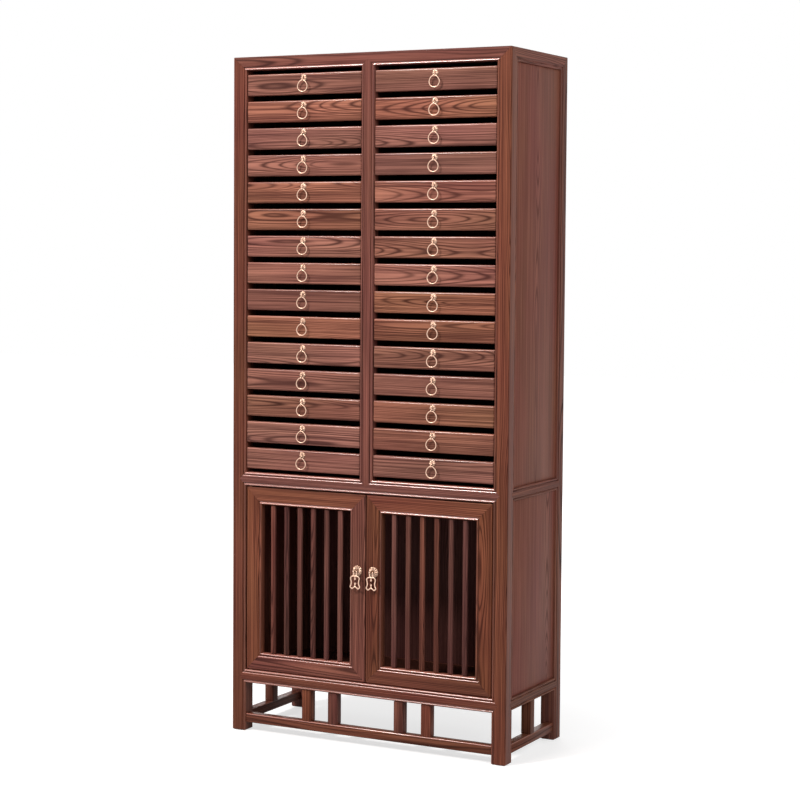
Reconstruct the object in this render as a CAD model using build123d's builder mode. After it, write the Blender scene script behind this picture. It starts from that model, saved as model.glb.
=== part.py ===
from build123d import *
import math
import os

os.makedirs("parts", exist_ok=True)

# Tea storage cabinet, in millimetres.
# +Z is up, +X is to the right seen from the front, and the front faces -Y.
# The origin is the centre of the footprint on the floor, pulls included.

# Overall size
WIDTH = 810.0
DEPTH = 350.0
HEIGHT = 1800.0
PULL_REACH = 12.0

# Frame members
POST = 40.0
RAIL = 36.0
SIDE_RAIL = 32.0
REAR_RAIL_DEPTH = 20.0
STRETCHER = 24.0
STRUT = 26.0
BASE_SETBACK = 4.0
STRETCHER_BOTTOM = 23.0
STRUT_X = (98.0, 177.0)
POST_ROUND = 2.5

# Moulding on the show faces: a bead along an edge, with a groove beside it
BEAD = 5.0
GROOVE = 2.0
GROOVE_DEPTH = 1.5

# Heights of the rails' top faces
MIDDLE_TOP = 699.0
BOTTOM_TOP = 167.0

# Boards and panels
PANEL = 8.0
PANEL_RECESS = 6.0
TOP_RECESS = 1.5
BOARD = 12.0
MULLION = 36.0
MULLION_DEPTH = 30.0
PARTITION = 18.0

# Drawers
ROWS = 15
DRAWER_HEIGHT = 55.0
DRAWER_PITCH = 70.5
DRAWER_GAP_ABOVE = 12.0
DRAWER_SIDE_GAP = 1.5
DRAWER_RECESS = 4.0
DRAWER_FRONT = 17.0
DRAWER_LENGTH = 285.0
DRAWER_WALL = 10.0
DRAWER_WALL_HEIGHT = 44.0
DRAWER_WALL_LIFT = 4.0
DRAWER_FLOOR = 4.0
WALL_SETBACK = 12.0
RUNNER = 8.0
RUNNER_GAP = 0.3
GUIDE = 10.0
FRONT_EDGE = 1.5

# Doors
DOOR_GAP = 2.5
DOOR_RECESS = 3.0
DOOR_THICKNESS = 22.0
DOOR_MEMBER = 45.0
SLATS = 6
SLAT_WIDTH = 14.0
SLAT_DEPTH = 10.0
SLAT_RECESS = 5.0
PIVOT_INSET = 10.0
PIVOT_BEHIND_FACE = 7.0
PIVOT_RADIUS = 3.0
PIVOT_CLEARANCE = 0.08
PIVOT_LENGTH = 12.0
PIVOT_FLANGE_RADIUS = 6.0
PIVOT_FLANGE = 1.2
CATCH_WIDTH = 24.0
CATCH_INSET = 10.0
CATCH_HEIGHT = 14.0
CATCH_GAP = 0.4

# Drawer pulls
ROSETTE_RADIUS = 8.5
ROSETTE_POINTS = 8
ROSETTE_THICKNESS = 1.4
ROSETTE_BELOW_EDGE = 11.5
ROSETTE_NOTCH = 0.72
EYE_DROP = 6.5
EYE_REACH = 7.5
EYE_RADIUS = 3.8
EYE_HOLE_RADIUS = 2.3
EYE_THICKNESS = 3.0
RING_RADIUS = 14.9
RING_WIRE = 3.3

# Door pulls
PLATE_RADIUS = 14.5
PLATE_LOBES = 12
PLATE_LOBE_DEPTH = 0.9
PLATE_THICKNESS = 2.0
PLATE_Z = 461.0
BOSS_RADIUS = 4.5
BOSS_HEIGHT = 4.0
STEM_RADIUS = 2.4
STEM_OVER_PIN = 1.8
PIN_RADIUS = 1.3
PIN_CLEARANCE = 0.08
PIN_LENGTH = 15.0
EAR_INSET = 1.0
EAR_WIDTH = 3.4
EAR_RADIUS = 2.8
PENDANT_THICKNESS = 3.0
PENDANT_BAND = 3.6
PENDANT_TOP_DROP = 10.0
PENDANT_HEIGHT = 37.0
PENDANT_WIDTH = 32.0
PENDANT_WAIST = 25.0
TONGUE_WIDTH = 3.0
TONGUE_TIP = 2.4

# Places that follow from the sizes above
FRONT = (PULL_REACH - DEPTH) / 2
BACK = FRONT + DEPTH
OPENING_X = WIDTH / 2 - POST
COLUMN_X = (OPENING_X + MULLION / 2) / 2
COLUMN_HALF = (OPENING_X - MULLION / 2) / 2
TOP_BOTTOM = HEIGHT - RAIL
MIDDLE_BOTTOM = MIDDLE_TOP - RAIL
BOTTOM_BOTTOM = BOTTOM_TOP - RAIL
STRETCHER_TOP = STRETCHER_BOTTOM + STRETCHER
REAR_OPENING_Y = BACK - POST
DRAWER_FACE = FRONT + DRAWER_RECESS
DRAWER_BOX_FRONT = DRAWER_FACE + DRAWER_FRONT
DRAWER_BOX_BACK = DRAWER_BOX_FRONT + DRAWER_LENGTH
BACK_PANEL_BACK = BACK - PANEL_RECESS
BACK_PANEL_FRONT = BACK_PANEL_BACK - PANEL
DOOR_FACE = FRONT + DOOR_RECESS
DOOR_BACK = DOOR_FACE + DOOR_THICKNESS
DOOR_WIDTH = OPENING_X - 1.5 * DOOR_GAP
DOOR_BOTTOM = BOTTOM_TOP + DOOR_GAP
DOOR_TOP = MIDDLE_BOTTOM - DOOR_GAP
DOOR_HEIGHT = DOOR_TOP - DOOR_BOTTOM
PIVOT_X = OPENING_X - DOOR_GAP - PIVOT_INSET
PIVOT_Y = DOOR_FACE + PIVOT_BEHIND_FACE
PULL_X = DOOR_GAP / 2 + DOOR_MEMBER / 2
PIN_Y = FRONT - PULL_REACH + EAR_RADIUS


def save(shape, name):
    """Label a finished piece and write it under its own name."""
    shape.label = name
    export_step(shape, f"parts/{name}.step")


def save_group(parts, name):
    """Write several touching pieces as one named group of separate solids."""
    solids = [solid for part in parts for solid in part.solids()]
    save(Compound(children=solids), name)


def block(x0, x1, y0, y1, z0, z1, mode=Mode.ADD):
    """Add a box between two corners to the piece being built."""
    with Locations(((x0 + x1) / 2, (y0 + y1) / 2, (z0 + z1) / 2)):
        Box(abs(x1 - x0), abs(y1 - y0), abs(z1 - z0), mode=mode)


def beaded_bar(plane, across, deep, length, beads):
    """Bar along the plane's normal, with a groove beside each beaded edge.

    The plane's origin is the middle of the show face, its x runs across that
    face and its y runs into the wood. A bead is -1 or 1, the edge it follows.
    """
    with BuildSketch(plane) as section:
        with Locations((0, deep / 2)):
            Rectangle(across, deep)
        for side in beads:
            with Locations((side * (across / 2 - BEAD - GROOVE / 2), 0)):
                Rectangle(GROOVE, 2 * GROOVE_DEPTH, mode=Mode.SUBTRACT)
    extrude(section.sketch, amount=length)


def corner_cut(corner, normal):
    """Keep the side of a mitre plane through a top corner that the normal leaves."""
    split(bisect_by=Plane(origin=corner, z_dir=normal), keep=Keep.BOTTOM)


def post(depth_sign, corner_y):
    """Left post of a pair; its top is one arm of a three-way mitre."""
    corner = (-WIDTH / 2, corner_y, HEIGHT)
    centre = (-WIDTH / 2 + POST / 2, corner_y + depth_sign * POST / 2)
    with BuildPart() as made:
        with BuildSketch():
            with Locations(centre):
                RectangleRounded(POST, POST, POST_ROUND)
            groove_x = -WIDTH / 2 + POST - BEAD - GROOVE / 2
            with Locations((groove_x, corner_y)):
                Rectangle(GROOVE, 2 * GROOVE_DEPTH, mode=Mode.SUBTRACT)
            groove_y = corner_y + depth_sign * (POST - BEAD - GROOVE / 2)
            with Locations((-WIDTH / 2, groove_y)):
                Rectangle(2 * GROOVE_DEPTH, GROOVE, mode=Mode.SUBTRACT)
        extrude(amount=HEIGHT)
        corner_cut(corner, (RAIL, 0, POST))
        corner_cut(corner, (0, depth_sign * RAIL, POST))
        mirror(about=Plane.YZ)
    return made.part


# Posts
save(post(1, FRONT), "front_posts")
save(post(-1, BACK), "rear_posts")


def top_rail(depth_sign, face_y):
    """Top rail across the cabinet, mitred to the posts and to the side rails."""
    middle_z = HEIGHT - RAIL / 2
    with BuildPart() as made:
        plane = Plane(
            origin=(0, face_y, middle_z), x_dir=(0, 0, -depth_sign), z_dir=(1, 0, 0)
        )
        beaded_bar(plane, RAIL, POST, WIDTH / 2, (depth_sign,))
        corner = (WIDTH / 2, face_y, HEIGHT)
        corner_cut(corner, (RAIL, 0, -POST))
        corner_cut(corner, (1, depth_sign, 0))
        mirror(about=Plane.YZ)
    return made.part


save(top_rail(1, FRONT), "front_top_rail")

# The middle and bottom rails hold the doors' pivot pins in blind holes
for rail_name, rail_top, hole_z, drill in (
    ("front_middle_rail", MIDDLE_TOP, MIDDLE_BOTTOM, 1),
    ("front_bottom_rail", BOTTOM_TOP, BOTTOM_TOP, -1),
):
    with BuildPart() as rail:
        rail_plane = Plane(
            origin=(-OPENING_X, FRONT, rail_top - RAIL / 2), x_dir=(0, 0, -1), z_dir=(1, 0, 0)
        )
        beaded_bar(rail_plane, RAIL, POST, 2 * OPENING_X, (-1, 1))
        with BuildSketch(Plane.XY.offset(hole_z)):
            with Locations((-PIVOT_X, PIVOT_Y), (PIVOT_X, PIVOT_Y)):
                Circle(PIVOT_RADIUS + PIVOT_CLEARANCE)
        extrude(amount=drill * PIVOT_LENGTH, mode=Mode.SUBTRACT)
    save(rail.part, rail_name)

# Rear rails: the top one is mitred like the front's, the others are plain
with BuildPart() as rear_lower:
    for top_z in (MIDDLE_TOP, BOTTOM_TOP):
        block(-OPENING_X, OPENING_X, BACK - REAR_RAIL_DEPTH, BACK, top_z - RAIL, top_z)
save_group([top_rail(-1, BACK), rear_lower.part], "rear_rails")

# Side top rails, mitred at both ends
with BuildPart() as side_top:
    beaded_bar(
        Plane(
            origin=(WIDTH / 2, FRONT, HEIGHT - RAIL / 2), x_dir=(0, 0, -1), z_dir=(0, 1, 0)
        ),
        RAIL, POST, DEPTH, (1,),
    )
    for corner_y, outward in ((FRONT, -1), (BACK, 1)):
        corner = (WIDTH / 2, corner_y, HEIGHT)
        corner_cut(corner, (0, outward * RAIL, -POST))
        corner_cut(corner, (-1, outward, 0))
    mirror(about=Plane.YZ)
save(side_top.part, "side_top_rails")

# Side rails between the posts
for rail_name, rail_top in (("side_middle_rails", MIDDLE_TOP), ("side_bottom_rails", BOTTOM_TOP)):
    with BuildPart() as side_rail:
        beaded_bar(
            Plane(
                origin=(WIDTH / 2, FRONT + POST, rail_top - SIDE_RAIL / 2),
                x_dir=(0, 0, -1), z_dir=(0, 1, 0),
            ),
            SIDE_RAIL, POST, DEPTH - 2 * POST, (-1, 1),
        )
        mirror(about=Plane.YZ)
    save(side_rail.part, rail_name)

# Open base: stretchers near the floor, at the front and the sides
BASE_SIDE_X = WIDTH / 2 - BASE_SETBACK
BASE_FRONT_Y = FRONT + BASE_SETBACK
with BuildPart() as stretchers:
    block(-OPENING_X, OPENING_X, BASE_FRONT_Y, BASE_FRONT_Y + STRUT,
          STRETCHER_BOTTOM, STRETCHER_TOP)
    for side in (-1, 1):
        block(side * (BASE_SIDE_X - STRUT), side * BASE_SIDE_X,
              FRONT + POST, REAR_OPENING_Y, STRETCHER_BOTTOM, STRETCHER_TOP)
save(stretchers.part, "base_stretchers")

# Short struts stand on the stretchers and carry the bottom rails
SIDE_RAIL_BOTTOM = BOTTOM_TOP - SIDE_RAIL
with BuildPart() as struts:
    for strut_x in STRUT_X:
        for side in (-1, 1):
            block(side * strut_x - STRUT / 2, side * strut_x + STRUT / 2,
                  BASE_FRONT_Y, BASE_FRONT_Y + STRUT, STRETCHER_TOP, BOTTOM_BOTTOM)
    middle_y = (FRONT + BACK) / 2
    for side in (-1, 1):
        block(side * (BASE_SIDE_X - STRUT), side * BASE_SIDE_X,
              middle_y - STRUT / 2, middle_y + STRUT / 2, STRETCHER_TOP, SIDE_RAIL_BOTTOM)
save(struts.part, "base_struts")

# Mullion between the two columns of drawers, and the partition behind it
with BuildPart() as mullion:
    beaded_bar(
        Plane(origin=(0, FRONT, MIDDLE_TOP), x_dir=(1, 0, 0), z_dir=(0, 0, 1)),
        MULLION, MULLION_DEPTH, TOP_BOTTOM - MIDDLE_TOP, (-1, 1),
    )
save(mullion.part, "centre_mullion")

with BuildPart() as partition:
    block(-PARTITION / 2, PARTITION / 2, FRONT + MULLION_DEPTH, BACK_PANEL_FRONT,
          MIDDLE_TOP, TOP_BOTTOM)
save(partition.part, "centre_partition")

# Recessed side panels, upper and lower
PANEL_OUT = WIDTH / 2 - PANEL_RECESS
for panel_name, panel_bottom, panel_top in (
    ("upper_side_panels", MIDDLE_TOP, TOP_BOTTOM),
    ("lower_side_panels", BOTTOM_TOP, MIDDLE_TOP - SIDE_RAIL),
):
    with BuildPart() as side_panel:
        for side in (-1, 1):
            block(side * (PANEL_OUT - PANEL), side * PANEL_OUT,
                  FRONT + POST, REAR_OPENING_Y, panel_bottom, panel_top)
    save(side_panel.part, panel_name)

# Back panels, upper and lower
with BuildPart() as back_panels:
    for panel_bottom, panel_top in ((MIDDLE_TOP, TOP_BOTTOM), (BOTTOM_TOP, MIDDLE_BOTTOM)):
        block(-OPENING_X, OPENING_X, BACK_PANEL_FRONT, BACK_PANEL_BACK,
              panel_bottom, panel_top)
save(back_panels.part, "back_panels")

# Top panel, set just below the top of its frame
with BuildPart() as top_panel:
    block(-OPENING_X, OPENING_X, FRONT + POST, REAR_OPENING_Y,
          HEIGHT - TOP_RECESS - PANEL, HEIGHT - TOP_RECESS)
save(top_panel.part, "top_panel")

# Boards inside: one under the drawers, one on the cabinet's floor
with BuildPart() as boards:
    for board_top in (MIDDLE_TOP, BOTTOM_TOP):
        block(-OPENING_X, OPENING_X, FRONT + POST, BACK - REAR_RAIL_DEPTH,
              board_top - BOARD, board_top)
save(boards.part, "inner_boards")


def drawer_bottom_z(row):
    """Height of a drawer front's lower edge, rows counted from the top."""
    return TOP_BOTTOM - DRAWER_GAP_ABOVE - DRAWER_HEIGHT - row * DRAWER_PITCH


# Runner strips, one on each side of every drawer
RUNNER_LIFT = (DRAWER_HEIGHT - RUNNER) / 2
RUNNER_REACH = WALL_SETBACK - RUNNER_GAP
RUNNER_FRONT = DRAWER_BOX_FRONT + 1.0
with BuildPart() as runners:
    for row in range(ROWS):
        runner_z = drawer_bottom_z(row) + RUNNER_LIFT
        for side in (-1, 1):
            block(side * (OPENING_X - RUNNER_REACH), side * OPENING_X,
                  RUNNER_FRONT, BACK_PANEL_FRONT, runner_z, runner_z + RUNNER)
            block(side * PARTITION / 2, side * (MULLION / 2 + RUNNER_REACH),
                  FRONT + MULLION_DEPTH, BACK_PANEL_FRONT, runner_z, runner_z + RUNNER)
save(runners.part, "drawer_runners")


def rosette_outline():
    """Star outline: tips at the full radius, notches part of the way in."""
    step = math.pi / ROSETTE_POINTS
    radii = (ROSETTE_RADIUS, ROSETTE_NOTCH * ROSETTE_RADIUS)
    return [
        (radii[i % 2] * math.sin(i * step), radii[i % 2] * math.cos(i * step))
        for i in range(2 * ROSETTE_POINTS)
    ]


def drawer_pull(centre_x, top_z):
    """Star rosette, drooping eye and round ring, as separate pieces."""
    rose_z = top_z - ROSETTE_BELOW_EDGE
    eye_y = DRAWER_FACE - EYE_REACH
    eye_z = rose_z - EYE_DROP
    with BuildPart() as rosette:
        with BuildSketch(Plane(origin=(centre_x, DRAWER_FACE, rose_z), z_dir=(0, -1, 0))):
            Polygon(*rosette_outline(), align=None)
        extrude(amount=ROSETTE_THICKNESS)
    with BuildPart() as eye:
        with BuildSketch(Plane.YZ.offset(centre_x - EYE_THICKNESS / 2)):
            with BuildLine():
                Polyline(
                    (DRAWER_FACE - ROSETTE_THICKNESS, rose_z + EYE_RADIUS),
                    (DRAWER_FACE - ROSETTE_THICKNESS, eye_z),
                    (eye_y, eye_z),
                    (eye_y, eye_z + EYE_RADIUS),
                    close=True,
                )
            make_face()
            with Locations((eye_y, eye_z)):
                Circle(EYE_RADIUS)
                Circle(EYE_HOLE_RADIUS, mode=Mode.SUBTRACT)
        extrude(amount=EYE_THICKNESS)
    ring_z = eye_z - (EYE_HOLE_RADIUS - RING_WIRE / 2) / 2 - RING_RADIUS
    with BuildPart() as ring:
        with BuildSketch(Plane.YZ.offset(centre_x)):
            with Locations((eye_y, ring_z + RING_RADIUS)):
                Circle(RING_WIRE / 2)
        revolve(axis=Axis((centre_x, eye_y, ring_z), (0, 1, 0)))
    return [rosette.part, eye.part, ring.part]


def drawer(centre_x, row):
    """Solid front, four thin boards, and two guide strips on each side."""
    bottom = drawer_bottom_z(row)
    top = bottom + DRAWER_HEIGHT
    half = COLUMN_HALF - DRAWER_SIDE_GAP
    wall_out = COLUMN_HALF - WALL_SETBACK
    wall_in = wall_out - DRAWER_WALL
    wall_bottom = bottom + DRAWER_WALL_LIFT
    wall_top = wall_bottom + DRAWER_WALL_HEIGHT
    runner_z = bottom + RUNNER_LIFT
    parts = []
    with BuildPart() as front:
        block(centre_x - half, centre_x + half, DRAWER_FACE, DRAWER_BOX_FRONT, bottom, top)
        chamfer(front.faces().sort_by(Axis.Y)[0].edges(), FRONT_EDGE)
    parts.append(front.part)
    for side in (-1, 1):
        with BuildPart() as wall:
            block(centre_x + side * wall_in, centre_x + side * wall_out,
                  DRAWER_BOX_FRONT, DRAWER_BOX_BACK, wall_bottom, wall_top)
        parts.append(wall.part)
        for guide_low in (runner_z - RUNNER_GAP - GUIDE, runner_z + RUNNER + RUNNER_GAP):
            with BuildPart() as guide:
                block(centre_x + side * wall_out, centre_x + side * half,
                      DRAWER_BOX_FRONT, DRAWER_BOX_BACK, guide_low, guide_low + GUIDE)
            parts.append(guide.part)
    with BuildPart() as rear:
        block(centre_x - wall_in, centre_x + wall_in, DRAWER_BOX_BACK - DRAWER_WALL,
              DRAWER_BOX_BACK, wall_bottom, wall_top)
    with BuildPart() as floor:
        block(centre_x - wall_in, centre_x + wall_in, DRAWER_BOX_FRONT,
              DRAWER_BOX_BACK - DRAWER_WALL, wall_bottom, wall_bottom + DRAWER_FLOOR)
    return parts + [rear.part, floor.part] + drawer_pull(centre_x, top)


for column_name, column_side in (("left", -1), ("right", 1)):
    for row in range(ROWS):
        drawer_parts = drawer(column_side * COLUMN_X, row)
        save_group(drawer_parts, f"drawer_{column_name}_{row + 1:02d}")


def door_member(outline, opening_centre, opening_x, opening_z):
    """One mitred member of a door frame, with its part of the groove round the opening."""
    face = Plane(origin=(0, DOOR_FACE, 0), x_dir=(1, 0, 0), z_dir=(0, -1, 0))
    groove_out = 2 * (BEAD + GROOVE)
    with BuildPart() as made:
        with BuildSketch(face):
            with BuildLine():
                Polyline(*outline, close=True)
            make_face()
        extrude(amount=-DOOR_THICKNESS)
        with BuildSketch(face):
            with Locations(opening_centre):
                Rectangle(opening_x + groove_out, opening_z + groove_out)
                Rectangle(opening_x + 2 * BEAD, opening_z + 2 * BEAD, mode=Mode.SUBTRACT)
        extrude(amount=-GROOVE_DEPTH, mode=Mode.SUBTRACT)
    return made.part


def door_frame(side):
    """Two stiles and two rails, mitred at the corners."""
    x0 = side * (OPENING_X - DOOR_GAP)
    x1 = x0 - side * DOOR_MEMBER
    x3 = side * DOOR_GAP / 2
    x2 = x3 + side * DOOR_MEMBER
    z0, z1 = DOOR_BOTTOM, DOOR_BOTTOM + DOOR_MEMBER
    z2, z3 = DOOR_TOP - DOOR_MEMBER, DOOR_TOP
    outlines = (
        [(x0, z0), (x1, z1), (x1, z2), (x0, z3)],
        [(x3, z0), (x2, z1), (x2, z2), (x3, z3)],
        [(x0, z0), (x3, z0), (x2, z1), (x1, z1)],
        [(x0, z3), (x3, z3), (x2, z2), (x1, z2)],
    )
    centre = ((x0 + x3) / 2, (z0 + z3) / 2)
    opening_x = DOOR_WIDTH - 2 * DOOR_MEMBER
    opening_z = DOOR_HEIGHT - 2 * DOOR_MEMBER
    return [door_member(outline, centre, opening_x, opening_z) for outline in outlines]


def door_slats(side):
    """Upright slats, evenly spaced across the door's opening."""
    opening = DOOR_WIDTH - 2 * DOOR_MEMBER
    gap = (opening - SLATS * SLAT_WIDTH) / (SLATS + 1)
    start = DOOR_GAP / 2 + DOOR_MEMBER + gap
    with BuildPart() as made:
        for i in range(SLATS):
            low = start + i * (SLAT_WIDTH + gap)
            block(side * low, side * (low + SLAT_WIDTH),
                  DOOR_FACE + SLAT_RECESS, DOOR_FACE + SLAT_RECESS + SLAT_DEPTH,
                  DOOR_BOTTOM + DOOR_MEMBER, DOOR_TOP - DOOR_MEMBER)
    return made.part


def door_pivots(side):
    """Pins at the top and bottom of a door, each on a flange in the door's gap."""
    with BuildPart() as made:
        for face_z, up in ((DOOR_TOP, 1), (DOOR_BOTTOM, -1)):
            for radius, length in (
                (PIVOT_FLANGE_RADIUS, PIVOT_FLANGE),
                (PIVOT_RADIUS, PIVOT_LENGTH),
            ):
                with BuildSketch(Plane.XY.offset(face_z)):
                    with Locations((side * PIVOT_X, PIVOT_Y)):
                        Circle(radius)
                extrude(amount=up * length)
    return made.part


def plate_outline():
    """Scalloped edge of a pull plate: one arc for each lobe, tip at the full radius."""
    step = 2 * math.pi / PLATE_LOBES
    valley = PLATE_RADIUS - PLATE_LOBE_DEPTH
    for i in range(PLATE_LOBES):
        start, tip, end = (
            (radius * math.cos(turn * step), radius * math.sin(turn * step))
            for radius, turn in ((valley, i), (PLATE_RADIUS, i + 0.5), (valley, i + 1))
        )
        ThreePointArc(start, tip, end)


def pull_plate(side):
    """Scalloped plate with a boss, and a stem that carries the cross pin."""
    face = Plane(origin=(side * PULL_X, DOOR_FACE, PLATE_Z), x_dir=(1, 0, 0), z_dir=(0, -1, 0))
    stem_length = DOOR_FACE - PIN_Y + STEM_OVER_PIN
    with BuildPart() as made:
        with BuildSketch(face):
            with BuildLine():
                plate_outline()
            make_face()
        extrude(amount=PLATE_THICKNESS)
        for radius, height in ((BOSS_RADIUS, BOSS_HEIGHT), (STEM_RADIUS, stem_length)):
            with BuildSketch(face):
                Circle(radius)
            extrude(amount=height)
        with BuildSketch(Plane.YZ.offset(side * PULL_X - PIN_LENGTH / 2)):
            with Locations((PIN_Y, PLATE_Z)):
                Circle(PIN_RADIUS)
        extrude(amount=PIN_LENGTH)
    return made.part


def pendant_half():
    """Right half of the pendant's outline, from its top edge to its lower cusp.

    The shoulder sweeps out to the upper corner, the side draws in to a waist
    and flares again, and the lower edge rises to a cusp in the middle.
    """
    top = -PENDANT_TOP_DROP
    low = top - PENDANT_HEIGHT
    half = PENDANT_WIDTH / 2
    waist = PENDANT_WAIST / 2
    return [
        (0, top), (half - 6, top - 1.5), (half - 1.5, top - 7), (waist + 0.6, top - 13),
        (waist, top - 18), (waist + 1.2, low + 13), (half, low + 6.5),
        (half - 7, low), (half - 11.5, low + 2.6), (0, low + 5.5),
    ]


def pendant(side):
    """Openwork drop: a waisted band hung by two ears, with a tongue at each end."""
    centre_x = side * PULL_X
    face = Plane(
        origin=(centre_x, PIN_Y - PENDANT_THICKNESS / 2, PLATE_Z),
        x_dir=(1, 0, 0), z_dir=(0, -1, 0),
    )
    right = pendant_half()
    left = [(-x, z) for x, z in reversed(right) if x > 0]
    top = -PENDANT_TOP_DROP
    low = top - PENDANT_HEIGHT
    ear_x = PIN_LENGTH / 2 - EAR_INSET - EAR_WIDTH
    with BuildPart() as made:
        with BuildSketch(face):
            Polygon(*right, *left, align=None)
            offset(amount=-PENDANT_BAND, mode=Mode.SUBTRACT)
            with Locations((0, top - PENDANT_BAND), (0, low + 2 * PENDANT_BAND)):
                Rectangle(TONGUE_WIDTH, 2 * PENDANT_BAND)
            with Locations((0, top - 2 * PENDANT_BAND), (0, low + 3 * PENDANT_BAND)):
                Circle(TONGUE_TIP)
        extrude(amount=-PENDANT_THICKNESS)
        for ear_low in (ear_x, -ear_x - EAR_WIDTH):
            with BuildSketch(Plane.YZ.offset(centre_x + ear_low)):
                with Locations((PIN_Y, PLATE_Z + top / 2 - PENDANT_BAND / 2)):
                    Rectangle(PENDANT_THICKNESS, PENDANT_TOP_DROP + PENDANT_BAND)
                with Locations((PIN_Y, PLATE_Z)):
                    Circle(EAR_RADIUS)
                    Circle(PIN_RADIUS + PIN_CLEARANCE, mode=Mode.SUBTRACT)
            extrude(amount=EAR_WIDTH)
    return made.part


for door_name, door_side in (("left", -1), ("right", 1)):
    save_group(door_frame(door_side), f"{door_name}_door_frame")
    save(door_slats(door_side), f"{door_name}_door_slats")
    save(door_pivots(door_side), f"{door_name}_door_pivots")
    save(pull_plate(door_side), f"{door_name}_pull_plate")
    save(pendant(door_side), f"{door_name}_pull_pendant")

# Catch blocks under the middle rail, which the doors close against
with BuildPart() as catches:
    for side in (-1, 1):
        block(side * CATCH_INSET, side * (CATCH_INSET + CATCH_WIDTH),
              DOOR_BACK + CATCH_GAP, FRONT + POST,
              MIDDLE_BOTTOM - CATCH_HEIGHT, MIDDLE_BOTTOM)
save(catches.part, "door_catches")
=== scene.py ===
import math

import bmesh
import bpy
import numpy as np
from mathutils import Matrix, Vector


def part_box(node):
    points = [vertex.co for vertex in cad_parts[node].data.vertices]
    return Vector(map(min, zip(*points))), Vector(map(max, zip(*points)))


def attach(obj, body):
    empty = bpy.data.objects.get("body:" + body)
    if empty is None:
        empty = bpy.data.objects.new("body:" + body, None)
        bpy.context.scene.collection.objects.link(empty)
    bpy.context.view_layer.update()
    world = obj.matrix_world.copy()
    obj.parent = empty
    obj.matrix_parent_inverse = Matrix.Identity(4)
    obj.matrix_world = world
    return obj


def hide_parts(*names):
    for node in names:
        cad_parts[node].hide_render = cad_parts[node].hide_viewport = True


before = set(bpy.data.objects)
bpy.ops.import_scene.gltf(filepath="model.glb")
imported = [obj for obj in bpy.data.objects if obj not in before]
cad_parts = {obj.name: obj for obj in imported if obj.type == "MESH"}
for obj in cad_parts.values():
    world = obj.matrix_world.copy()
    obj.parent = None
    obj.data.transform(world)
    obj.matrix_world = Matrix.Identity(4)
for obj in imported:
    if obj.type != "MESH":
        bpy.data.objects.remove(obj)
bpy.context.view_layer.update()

# Tea storage cabinet, in metres, in the frame's own place: +Z up, front facing -Y.

MM = 0.001
CARCASS = "carcass"
SIDES = {"left": -1, "right": 1}
ROWS = 15
ALONG_X, ALONG_Y, ALONG_Z = range(3)


def corners(node):
    """Lowest and highest corner of a CAD node, as two arrays."""
    low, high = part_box(node)
    return np.array(low), np.array(high)


# Places and sizes taken from the frame
POSTS_LOW, POSTS_HIGH = corners("front_posts")
SIDE_X = POSTS_HIGH[0]
FRONT_Y = POSTS_LOW[1]
POST = POSTS_HIGH[1] - FRONT_Y
HEIGHT = POSTS_HIGH[2]
BACK_Y = corners("rear_posts")[1][1]
INNER_X = SIDE_X - POST
TOP_LOW = corners("front_top_rail")[0][2]
RAIL = HEIGHT - TOP_LOW
MIDDLE_LOW, MIDDLE_HIGH = (corner[2] for corner in corners("front_middle_rail"))
BOTTOM_LOW, BOTTOM_HIGH = (corner[2] for corner in corners("front_bottom_rail"))
SIDE_RAIL = MIDDLE_HIGH - corners("side_middle_rails")[0][2]
MULLION_LOW, MULLION_HIGH = corners("centre_mullion")
MULLION = MULLION_HIGH[0] - MULLION_LOW[0]
MULLION_DEEP = MULLION_HIGH[1] - MULLION_LOW[1]
BASE_LOW, BASE_HIGH = corners("base_stretchers")

# Moulding of the show faces
BEAD = 5.5 * MM
GROOVE = 2.0 * MM
FIELD_EDGE = 2.5 * MM
FIELD_DROP = 1.6 * MM
CROWN = 0.5 * MM
ARRIS = 3.0 * MM
HIDDEN_ARRIS = 1.0 * MM

# Coat gloss and painted highlight on the show faces, where edges face up to the light, with a trace
# on uprights and on the front posts' outer faces: an upper and a lower edge, or one value. Of the
# field's edge, the first stretch gets them
TOP_RAIL_SHINE = (0, 0.9)
MIDDLE_RAIL_SHINE = (1, 0.65)
BOTTOM_RAIL_SHINE = (0.7, 0.45)
DOOR_HEAD_SHINE = (0, 0.9)
DOOR_FOOT_SHINE = (0.9, 0)
FRONT_STRETCHER_SHINE = 1.0
SIDE_STRETCHER_SHINE = 0.3
DRAWER_SHINE = 0.35
UPRIGHT_SHINE = 0.06
OUTER_SHINE = 0.1
PAINTED_FIELD_HIGHLIGHT = 0.8 * FIELD_EDGE

# Joints between members
SEAM = 0.25 * MM
NOTCH_WALL = 0.05 * MM
NOTCH_DEEP = 3.5 * MM
NOTCH_RAMP = 1.0 * MM

# Base
STRUT = 26.0 * MM
STRUT_X = (98.0 * MM, 177.0 * MM)
BASE_ROUND = 2.5 * MM

# Boards and rails that lie behind the show faces
REAR_RAIL = 20.0 * MM
SIDE_PANEL = 8.0 * MM

# Drawers
DRAWER_RECESS = 4.0 * MM
DRAWER_FRONT = 17.0 * MM
DRAWER_ROUND = 3.2 * MM
DRAWER_WALL = 10.0 * MM
DRAWER_WALL_HIGH = 44.0 * MM
DRAWER_LIFT = 4.0 * MM
DRAWER_FLOOR = 4.0 * MM
WALL_SETBACK = 10.5 * MM
GUIDE = 10.0 * MM
RUNNER_SPACE = 8.6 * MM
BOX_ROUND = 0.6 * MM
ARCHED_SHARE = 0.35
ARCHED, STRAIGHT = 0.9, 0.3

# Doors
DOOR_MEMBER = 45.0 * MM
SLATS = 6
SLAT = 14.0 * MM
SLAT_ROUND = 4.0 * MM

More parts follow.
